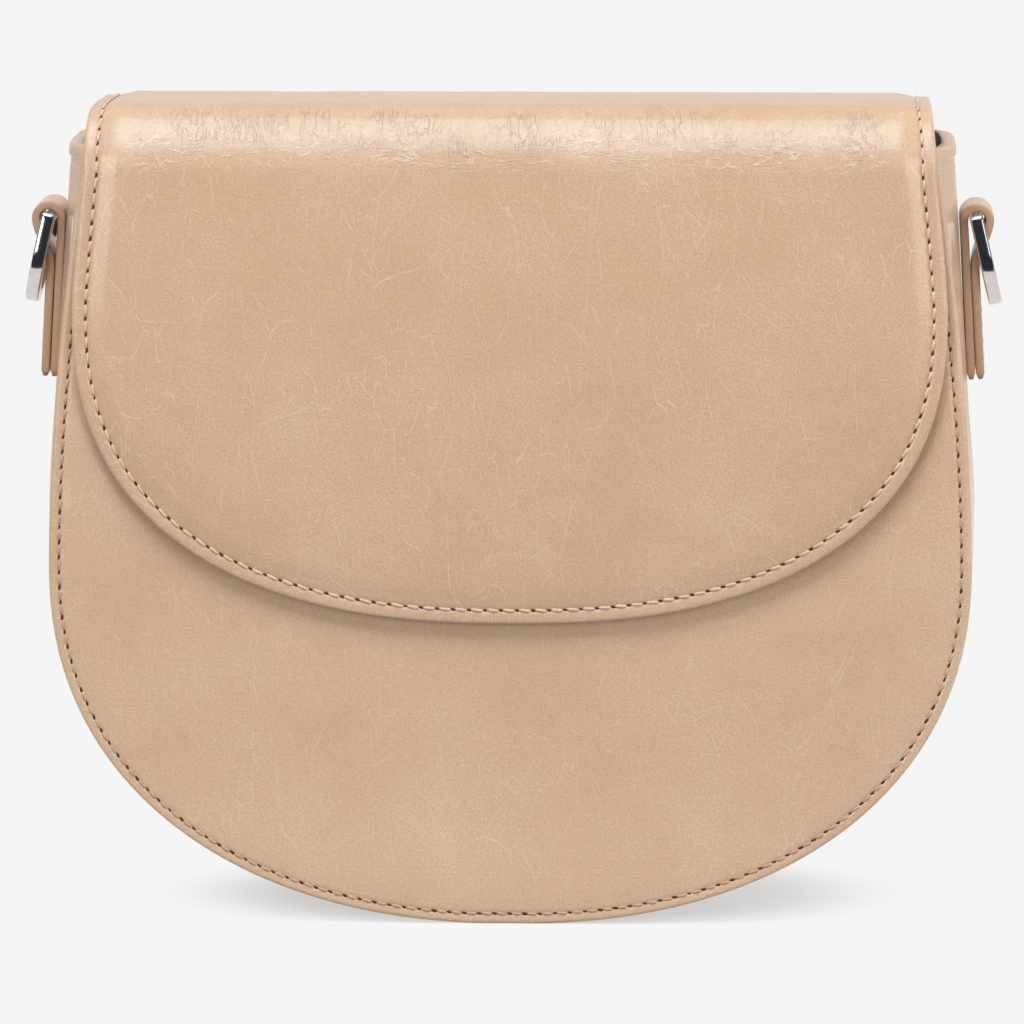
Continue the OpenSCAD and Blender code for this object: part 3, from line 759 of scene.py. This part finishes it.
# Gusset
def build_gusset():
    """Band between the panels, which swells at its ends. It has hems, seams and edges turned in."""
    y0, y1 = FRONT_Y + PANEL_T, BACK_Y - PANEL_T
    p, nn = PANEL_U
    along = run_of(p)
    total = along[-1]
    hem_rows = np.concatenate([[0, 0.3, 0.6, 0.9, 1.6, 2.3], np.arange(2.6, 5.8, 0.25), [6.4, 7.4, 9]])
    run = np.concatenate([hem_rows, np.linspace(11.5, total - 11.5, 176), total - hem_rows[::-1]])
    pts = np.stack([np.interp(run, along, p[:, k]) for k in (0, 1)], 1)
    nrm = np.stack([np.interp(run, along, nn[:, k]) for k in (0, 1)], 1)
    nrm /= np.linalg.norm(nrm, axis=1, keepdims=True)
    ys = y0 + (y1 - y0) * (1 - np.cos(np.linspace(0, math.pi, 25))) / 2
    swell = 4.4
    verts, uvs = [], []
    for i in range(len(pts)):
        z = max(pts[i, 1], 0)
        from_end = min(run[i], total - run[i])
        amp = swell * (z / MOUTH_Z) ** 4 + 0.8 * math.exp(-((z - 104) / 15) ** 2)
        # Turned hem at each end: a band of double thickness, with two pressed lines under it
        hem = 0.45 * (1 - min(1, max(0, (from_end - 2.6) / 0.8)))
        dent = -0.32 * (math.exp(-((from_end - 3.6) / 0.3) ** 2) + math.exp(-((from_end - 4.6) / 0.3) ** 2))
        round_end = -0.9 * max(0, 1 - from_end / 0.9) ** 2

        def put(off, y, v, low=None):
            c = pts[i] + off * nrm[i]
            verts.append((c[0], y, c[1] if low is None else max(c[1], low)))
            uvs.append((run[i], v))

        for y in ys:
            q = abs(2 * (y - y0) / (y1 - y0) - 1)
            # A shallow fold runs just behind each panel and fades out toward the bottom
            fold = -0.5 * amp / swell * math.exp(-((1 - q) * 29 / 3.2 - 1.3) ** 2)
            off = amp * (1 - q**4) + fold + (hem + dent) * (1 - q**10) + round_end * 0.5
            if q < 0.98:
                off += ripple(run[i] * 0.7, y * 2, 0.16) * (1 - q**6) * min(1, z / 60)
            put(off, y, y, 0.0)
        # Turned edges behind the panels, and the inner face between them
        for y in (y1, y1 - GUSSET_T):
            put(-FLANGE_W, y, 40)
        for y in ys[::-1]:
            yy = min(max(y, y0 + GUSSET_T), y1 - GUSSET_T)
            q = abs(2 * (yy - y0) / (y1 - y0) - 1)
            off = -GUSSET_T + (0 if abs(y - yy) > 1e-9 else amp * (1 - q**4))
            put(off - hem * 3.6 * (1 - q**6), yy, y + 70)
        for y in (y0 + GUSSET_T, y0):
            put(-FLANGE_W, y, 40)
    n, rows = len(ys), len(pts)
    m = 2 * n + 4
    faces = tube_faces(rows, m, ends=False)
    for base in (0, (rows - 1) * m):
        for j in range(n - 1):
            faces.append((base + j, base + j + 1, base + 2 * n - j, base + 2 * n + 1 - j))
        faces.append((base + n - 1, base + n, base + n + 1, base + n + 2))
        faces.append((base + 2 * n + 1, base + 2 * n + 2, base + 2 * n + 3, base))
    return mesh_object("gusset_band", verts, faces, uvs, (M_GUSSET,))


gusset = build_gusset()
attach(gusset, "bag")
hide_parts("gusset")


# Stitches
def line_places(points, normals, pitch):
    """Places of the stitches, and then of the holes between them: point, direction and outward normal."""
    points, normals = np.asarray(points, float), np.asarray(normals, float)
    run = run_of(points)
    n = max(1, int(run[-1] / pitch))
    get = lambda arr, at: np.stack([np.interp(at, run, arr[:, k]) for k in range(3)], 1)
    out = []
    for at in ((np.arange(n) + 0.5) * run[-1] / n, np.arange(n + 1) * run[-1] / n):
        d = get(points, np.minimum(at + 0.4, run[-1])) - get(points, np.maximum(at - 0.4, 0))
        nn = get(normals, at)
        out.append((get(points, at), d / np.linalg.norm(d, axis=1, keepdims=True),
                    nn / np.linalg.norm(nn, axis=1, keepdims=True)))
    return out


SLANT = 0.10                                # how far a stitch turns from the line of its seam


def stitches(name, lines, pitch, length, r, sink, mats, hole_r, seed=3):
    """Short arched lengths of thread, with a small slot on the leather before and after each, whose dark
    colour is painted shade of the hole.
    """
    rng = np.random.default_rng(seed)
    verts, uvs, faces, mi = [], [], [], []
    stations = (-1, -0.86, -0.6, -0.2, 0.2, 0.6, 0.86, 1)
    around, rim = 8, 10                      # points round the thread, and round a slot
    for pts, nrm in lines:
        threads, slots = line_places(pts, nrm, pitch)
        for q, t, n in zip(*threads):
            b = np.cross(t, n)
            t = t + b * (SLANT + rng.normal(0, 0.03))
            t /= np.linalg.norm(t)
            b = np.cross(t, n)
            L = length * (1 + rng.normal(0, 0.03)) / 2
            rr = r * (1 + rng.normal(0, 0.05))
            faces += tube_faces(len(stations), around, len(verts))
            mi += [0] * ((len(stations) - 1) * around + 2)
            for s in stations:
                w = rr * (1 - 0.55 * abs(s) ** 6)
                hgt = r * 0.55 * (1 - abs(s) ** 2.6) - sink * abs(s) ** 6 * 2.0
                for a in range(around):
                    ang = a * 2 * math.pi / around
                    verts.append(q + t * L * s + n * (hgt - sink + w * 0.8 * math.sin(ang))
                                 + b * w * math.cos(ang))
                    uvs.append((L * s, a * 0.28))
        for q, t, n in zip(*slots):
            # Long ways of the seam and a little aslant
            b = np.cross(t, n)
            t = t + b * SLANT * 3.0
            t /= np.linalg.norm(t)
            b = np.cross(n, t)
            base = len(verts)
            R = hole_r * (1 + rng.normal(0, 0.12))
            verts.append(q + n * (0.10 - sink * 0.4))
            for ring_r, hh in ((0.7, 0.07), (1.0, -0.10)):
                for a in range(rim):
                    ang = a * 2 * math.pi / rim
                    verts.append(q + (t * math.cos(ang) * 1.55 + b * math.sin(ang) * 0.8) * R * ring_r
                                 + n * (hh - sink * 0.4))
            uvs += [(0, 0)] * (1 + 2 * rim)
            for a in range(rim):
                e = (a + 1) % rim
                faces.append((base, base + 1 + a, base + 1 + e))
                faces.append((base + 1 + a, base + 1 + rim + a, base + 1 + rim + e, base + 1 + e))
            mi += [1] * (2 * rim)
    return mesh_object(name, verts, faces, uvs, mats, mi)


def u_line(u, inset, y, facing, z_top=None):
    """Line of points at an inset from a U outline, up to z_top, and their normals."""
    p = u[0] - inset * u[1]
    if z_top is not None:
        p = p[(p[:, 1] < z_top)]
    return [(x, y, z) for x, z in p], [(0, facing, 0)] * len(p)


X = FLAP_TOP - FLAP_SEAM
GR = 0.12                                   # the flap's stitches lie this deep in their groove


def fore_bend_line(x):
    pts, nrm = [], []
    for t in np.linspace(math.pi / 2, 0, FORE_N):
        (y, z), (ny, nz) = front_bend(t, GR)
        pts.append((x * taper(y), y, z + lift(x, y) * math.sin(t)))
        nrm.append((0, ny, nz))
    return pts, nrm


def back_bend_line(x):
    pts, nrm = [], []
    for t in np.linspace(math.pi / 2, 0, REAR_N):
        y = OUT_Y - BACK_R + (BACK_R - GR) * math.cos(t)
        pts.append((x * taper(y), y, BACK_Z + (BACK_R - GR + lift(x, y)) * math.sin(t)))
        nrm.append((0, math.cos(t), math.sin(t)))
    return pts, nrm


def join(*parts):
    p, n = [], []
    for a, b in parts:
        p += list(a)
        n += list(b)
    return p, n


def flat(x, y0, y1):
    return [(x * taper(y), y, TOP_Z - GR + lift(x, y)) for y in np.linspace(y0, y1, 12)], [(0, 0, 1)] * 12


def turned(part):
    return part[0][::-1], part[1][::-1]


fy, by = -OUT_Y + BEND_A, OUT_Y - BACK_R
fore_line = join(flat(-X, 0, fy), fore_bend_line(-X), u_line(FLAP_U, FLAP_SEAM, -OUT_Y + GR, -1),
                 turned(fore_bend_line(X)), flat(X, fy, 0))
back_line = join(flat(-X, 0, by), back_bend_line(-X),
                 u_line((YOKE_U[0] * (taper(OUT_Y), 1), YOKE_U[1]), FLAP_SEAM, OUT_Y - GR, 1),
                 turned(back_bend_line(X)), flat(X, by, 0))
sew_fore = stitches("flap_seam_fore", [fore_line], 3.8, 2.90, 0.38, 0.06, (M_THREAD, M_HOLE_SHADE), 0.44)
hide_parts("flap_front_thread", "flap_top_thread")
sew_back = stitches("flap_seam_back", [back_line], 3.8, 2.90, 0.38, 0.06, (M_THREAD, M_HOLE_SHADE), 0.44, seed=5)
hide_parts("yoke_thread")

sew_front = stitches("front_seam", [u_line(PANEL_U, PANEL_SEAM, FRONT_Y + 0.08, -1, 182)],
                     3.6, 2.5, 0.34, 0.10, (M_TAN, M_HOLE_SHADE), 0.48, seed=7)
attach(sew_front, "bag")
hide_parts("front_thread")
sew_rear = stitches("back_seam", [u_line(PANEL_U, PANEL_SEAM, BACK_Y - 0.08, 1, 182)], 3.6, 2.5, 0.34, 0.10,
                    (M_TAN, M_HOLE_SHADE), 0.48, seed=9)
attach(sew_rear, "bag")
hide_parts("back_thread")


# Tabs
def side_frame(side, lean):
    """Maps (u outward, y, v up) of a tab or a ring to the bag."""
    c, s = math.cos(lean), math.sin(lean)

    def at(u, y, v):
        return (side * (LOOP_X + u * c - v * s), y, LOOP_Z + u * s + v * c)
    return at


def tab_path():
    """Middle line of the folded strip, from the inner layer's lower end, over the loop, to the outer's."""
    R, end = LOOP_R + TAB_T / 2, math.radians(-12)
    pts = [(-R, v) for v in np.linspace(-TAB_L, -0.5, 26)]
    pts += [(R * math.cos(a), R * math.sin(a)) for a in np.linspace(math.pi, end, 40)]
    # The outer layer comes back in to the inner one in a soft S
    p0 = np.array([R * math.cos(end), R * math.sin(end)])
    face = 2 * TAB_T + 0.2 - (LOOP_R + TAB_T) - TAB_T / 2
    p3 = np.array([face, -12.5])
    d0 = np.array([math.sin(end), -math.cos(end)])
    p1, p2 = p0 + d0 * 4.6, p3 + np.array([0, 5.2])
    for t in np.linspace(0, 1, 22)[1:]:
        pts.append(tuple((1 - t)**3 * p0 + 3 * (1 - t)**2 * t * p1 + 3 * (1 - t) * t * t * p2 + t**3 * p3))
    pts += [(face, v) for v in np.linspace(-13.5, -TAB_L, 20)]
    return np.array(pts)


def build_tab(name, side):
    """Strip folded round the ring's bar, with painted edges."""
    at = side_frame(side, TAB_LEAN)
    path = tab_path()
    tan = np.gradient(path, axis=0)
    tan /= np.linalg.norm(tan, axis=1, keepdims=True)
    nrm = np.stack([-tan[:, 1], tan[:, 0]], 1)          # to the outside of the loop
    run = run_of(path)
    w = TAB_W / 2
    sec = round_rect(w, TAB_T / 2, 0.55, (0, 22.5, 45, 67.5, 90))
    # More columns across the broad faces
    full = []
    for j, a in enumerate(sec):
        b = sec[(j + 1) % len(sec)]
        full.append(a)
        if abs(a[0] - b[0]) > 5:
            full += [(a[0] + (b[0] - a[0]) * k / 8, a[1]) for k in range(1, 8)]
    verts, uvs = [], []
    m, n = len(full), len(path)
    for i in range(n):
        e = min(run[i], run[-1] - run[i])
        shrink = 1 - 0.5 * max(0, 1 - e / 0.6) ** 2
        for y, d in full:
            q = path[i] + nrm[i] * (d * shrink + ripple(y * 3 + side * 40, run[i], 0.05))
            verts.append(at(q[0], y * (1 - 0.012 * (1 - shrink)), q[1]))
            uvs.append((y + (20 if d > 0 else 60), run[i]))
    cut = [int(abs(full[j][0]) > w - 0.5 and abs(full[(j + 1) % m][0]) > w - 0.5) for j in range(m)]
    return mesh_object(name, verts, tube_faces(n, m), uvs, (M_TAB, M_EDGE), cut * (n - 1) + [1, 1])


for side, word in ((-1, "left"), (1, "right")):
    t = build_tab(f"{word}_strap_tab", side)
    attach(t, "bag")
    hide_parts(f"{word}_tab")
    at = side_frame(side, TAB_LEAN)
    face = 2 * TAB_T + 0.2 - LOOP_R - TAB_T
    yy, low = TAB_W / 2 - 2.5, -TAB_L + 2.5
    rect = ([(yy, v) for v in np.linspace(low + 16, low, 10)]
            + [(y, low) for y in np.linspace(yy, -yy, 10)[1:]]
            + [(-yy, v) for v in np.linspace(low, low + 16, 10)[1:]])
    p = [at(face - 0.04, y, v) for y, v in rect]
    o0, o1 = np.array(at(0, 0, 0)), np.array(at(1, 0, 0))
    s = stitches(f"{word}_tab_seam", [(p, [tuple(o1 - o0)] * len(p))],
                 3.6, 2.5, 0.30, 0.24, (M_TAN, M_HOLE_SHADE), 0.4, seed=11)
    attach(s, "bag")
    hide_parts(f"{word}_tab_thread")


# D-rings
def build_ring(name, side):
    """Flat metal D with softened edges, and its round bar."""
    gap, t, h, br = 10.25, 3.2, 23.0, 1.4   # half opening, metal, height, radius of the bar
    out_r = gap + t
    leg = h - t / 2 - out_r
    at = side_frame(side, RING_LEAN)
    b = 0.42
    # Stations along the D's middle line: position and outward direction in (y, v)
    line = [((gap + t / 2, v), (1, 0)) for v in (t / 2, t / 2 - b, 0.0, -leg * 0.33, -leg * 0.66, -leg + 0.2)]
    for a in np.linspace(0, math.pi, 41):
        r = gap + t / 2
        line.append(((r * math.cos(a), -leg - r * math.sin(a)), (math.cos(a), -math.sin(a))))
    line += [((-gap - t / 2, v), (-1, 0))
             for v in (-leg + 0.2, -leg * 0.66, -leg * 0.33, 0.0, t / 2 - b, t / 2)]
    sec = round_rect(t / 2, t / 2, b, (0, 30, 60, 90))
    verts, uvs = [], []
    for i, ((y, v), (ny, nv)) in enumerate(line):
        k = 1 - 0.28 * (i in (0, len(line) - 1))
        for u, n in sec:
            verts.append(at(u * k, y + ny * n * k, v + nv * n * k))
            uvs.append((u, i))
    around = 24
    faces = tube_faces(len(line), len(sec)) + tube_faces(2, around, len(verts))
    for i, y in enumerate((-gap - 0.3, gap + 0.3)):
        for j in range(around):
            q = j * 2 * math.pi / around
            verts.append(at(br * math.cos(q), y, br * math.sin(q)))
            uvs.append((j, i))
    o = mesh_object(name, verts, faces, uvs, (M_METAL,))
    mod = o.modifiers.new("edges", "EDGE_SPLIT")
    mod.split_angle = math.radians(50)
    return o


for side, word in ((-1, "left"), (1, "right")):
    o = build_ring(f"{word}_d_ring", side)
    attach(o, f"ring_{word}")
    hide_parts(f"{word}_ring")


# Facing round the mouth
def build_facing(name, y_wall, inward):
    """Leather strip folded over the top edge of a panel, its board and its lining."""
    depth = PANEL_T + 1.4 + 0.5
    prof = [(0.02, -0.2), (0.3, 0.12), (0.9, 0.3), (depth * 0.5, 0.38), (depth - 0.5, 0.3),
            (depth + 0.15, 0.0), (depth + 0.5, -0.8), (depth + 0.55, -8.0), (depth + 0.55, -14.4),
            (depth + 0.3, -15.0), (depth + 0.02, -15.0), (depth + 0.02, -8.0), (depth + 0.02, -0.3)]
    xs = np.linspace(-99.6, 99.6, 60)
    verts = [(x, y_wall + inward * d, MOUTH_Z + z) for x in xs for d, z in prof]
    uvs = [(x, 300 + d - z) for x in xs for d, z in prof]
    o = mesh_object(name, verts, tube_faces(len(xs), len(prof)), uvs, (M_SHELL,))
    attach(o, "bag")
    return o


build_facing("front_facing", FRONT_Y, 1)
build_facing("back_facing", BACK_Y, -1)

# The pieces over the bends: their placement is baked into their meshes
for o in (flap_fore, sew_fore):
    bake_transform(o)
for o in (flap_back, sew_back):
    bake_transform(o)

# Floor, light, camera
PALE = (0.913, 0.913, 0.913, 1)


def floor_material():
    """Pale floor. Camera and mirror rays see mostly its own colour, with a soft shadow near the bag."""
    m, N = new_material("floor")
    at = N.space()
    fine = N.noise(at, 400.0, 2.0)
    rays = N.node("ShaderNodeLightPath")
    # Light that the floor sends back up to the bag comes from a darker floor than the one that is seen
    c = N.mix(rays.outputs["Is Diffuse Ray"], N.mix(fine, (0.39, 0.39, 0.39, 1), (0.41, 0.41, 0.41, 1)),
              (0.24, 0.24, 0.24, 1))
    N.surface({"Base Color": c, "Roughness": 0.9, "Specular IOR Level": 0.0})
    glow = N.node("ShaderNodeEmission")
    glow.inputs[0].default_value = PALE
    ln = N.node("ShaderNodeVectorMath", operation="LENGTH")
    N.link(N.vmath("MULTIPLY", N.vmath("SUBTRACT", at, (0.004, 0.018, 0)), (0.70, 1, 1)), ln.inputs[0])
    near = N.range(ln.outputs["Value"], 0.038, 0.066, 0.90, 0.0)
    seen = N.math("MAXIMUM", N.math("MAXIMUM", rays.outputs["Is Camera Ray"], rays.outputs["Is Glossy Ray"]),
                  rays.outputs["Is Transmission Ray"])
    share = N.mul(seen, N.sub(1.0, near))
    # The glow makes up for the lit part, so that open floor keeps one tone
    N.link(N.math("DIVIDE", N.sub(1.0, N.mul(near, 0.47)), N.sub(1.0, near)), glow.inputs["Strength"])
    mix = N.node("ShaderNodeMixShader")
    N.link(share, mix.inputs[0])
    N.link(N.bsdf.outputs[0], mix.inputs[1])
    N.link(glow.outputs[0], mix.inputs[2])
    N.link(mix.outputs[0], N.out.inputs[0])
    return m


me = bpy.data.meshes.new("floor")
rim = [(1.1 * math.cos(a), max(-0.19, 1.1 * math.sin(a)), 0)
       for a in np.linspace(0, 2 * math.pi, 96, endpoint=False)]
me.from_pydata(rim, [], [list(range(96))])
floor = link(bpy.data.objects.new("floor", me))
me.materials.append(floor_material())

scene = bpy.context.scene
world = bpy.data.worlds.new("studio")
scene.world = world
world.use_nodes = True
N = Nodes(world.node_tree)
out = N.node("ShaderNodeOutputWorld")
way = N.split(N.node("ShaderNodeTexCoord").outputs["Generated"])
lit = N.node("ShaderNodeBackground")
lit.inputs[0].default_value = (1, 1, 1, 1)
lit.inputs[1].default_value = 0.24
# Mirror rays find the pale backdrop behind the bag and a dark room behind the camera
room = N.node("ShaderNodeBackground")
N.link(N.mix(N.range(way[1], 0.0, 0.45), (0.030, 0.034, 0.046, 1), (0.84, 0.68, 0.59, 1)), room.inputs[0])
seen = N.node("ShaderNodeBackground")
seen.inputs[0].default_value = PALE
rays = N.node("ShaderNodeLightPath")
m1 = N.node("ShaderNodeMixShader")
N.link(N.math("MAXIMUM", rays.outputs["Is Glossy Ray"], rays.outputs["Is Transmission Ray"]), m1.inputs[0])
N.link(lit.outputs[0], m1.inputs[1])
N.link(room.outputs[0], m1.inputs[2])
m2 = N.node("ShaderNodeMixShader")
N.link(rays.outputs["Is Camera Ray"], m2.inputs[0])
N.link(m1.outputs[0], m2.inputs[1])
N.link(seen.outputs[0], m2.inputs[2])
N.link(m2.outputs[0], out.inputs[0])


def area(name, loc, target, size, power, size_y):
    """Flat lamp at loc, turned to target."""
    d = bpy.data.lights.new(name, "AREA")
    d.energy = power
    d.size = size
    d.shape = "RECTANGLE"
    d.size_y = size_y
    o = link(bpy.data.objects.new(name, d))
    o.location = loc
    o.rotation_euler = (Vector(target) - Vector(loc)).to_track_quat("-Z", "Y").to_euler()
    return o


lamps = [area("key", (-0.12, -0.74, 1.41), (-0.02, 0, 0.17), 0.74, 18.0, 0.62),
         area("left_side", (-1.5, -0.45, 0.35), (-0.1, 0, 0.12), 0.6, 3.6, 0.6),
         area("right_side", (1.5, -0.25, 0.35), (0.1, 0, 0.12), 0.6, 11.0, 0.6),
         area("back_side", (0.1, 1.40, 0.34), (0, 0, 0.11), 0.9, 5.5, 0.5)]
for lamp in lamps:
    lamp.visible_glossy = False
# What the gloss of the leather mirrors at the bend
gloss = area("gloss_box", (-0.12, -0.72, 1.40), (-0.02, 0, 0.17), 0.95, 17.4, 1.60)
gloss.data.color = (0.43, 0.75, 1.0)
gloss.visible_diffuse = False
area("left_strip", (-0.72, -1.32, 0.36), (0, 0, 0.12), 0.56, 4.7, 0.70)
area("right_strip", (0.80, -1.32, 0.36), (0, 0, 0.12), 0.56, 4.3, 0.70)

cam = bpy.data.cameras.new("camera")
cam_obj = link(bpy.data.objects.new("camera", cam))
cam_obj.location = (0.0712, -2.2325, 0.3838)
aim = Vector((0.0007, -0.03245, 0.1000))
cam_obj.rotation_euler = (aim - cam_obj.location).to_track_quat("-Z", "Y").to_euler()
cam.sensor_width = 36
cam.lens = 327.9
cam.clip_end = 50
scene.camera = cam_obj
scene.view_settings.view_transform = "Standard"
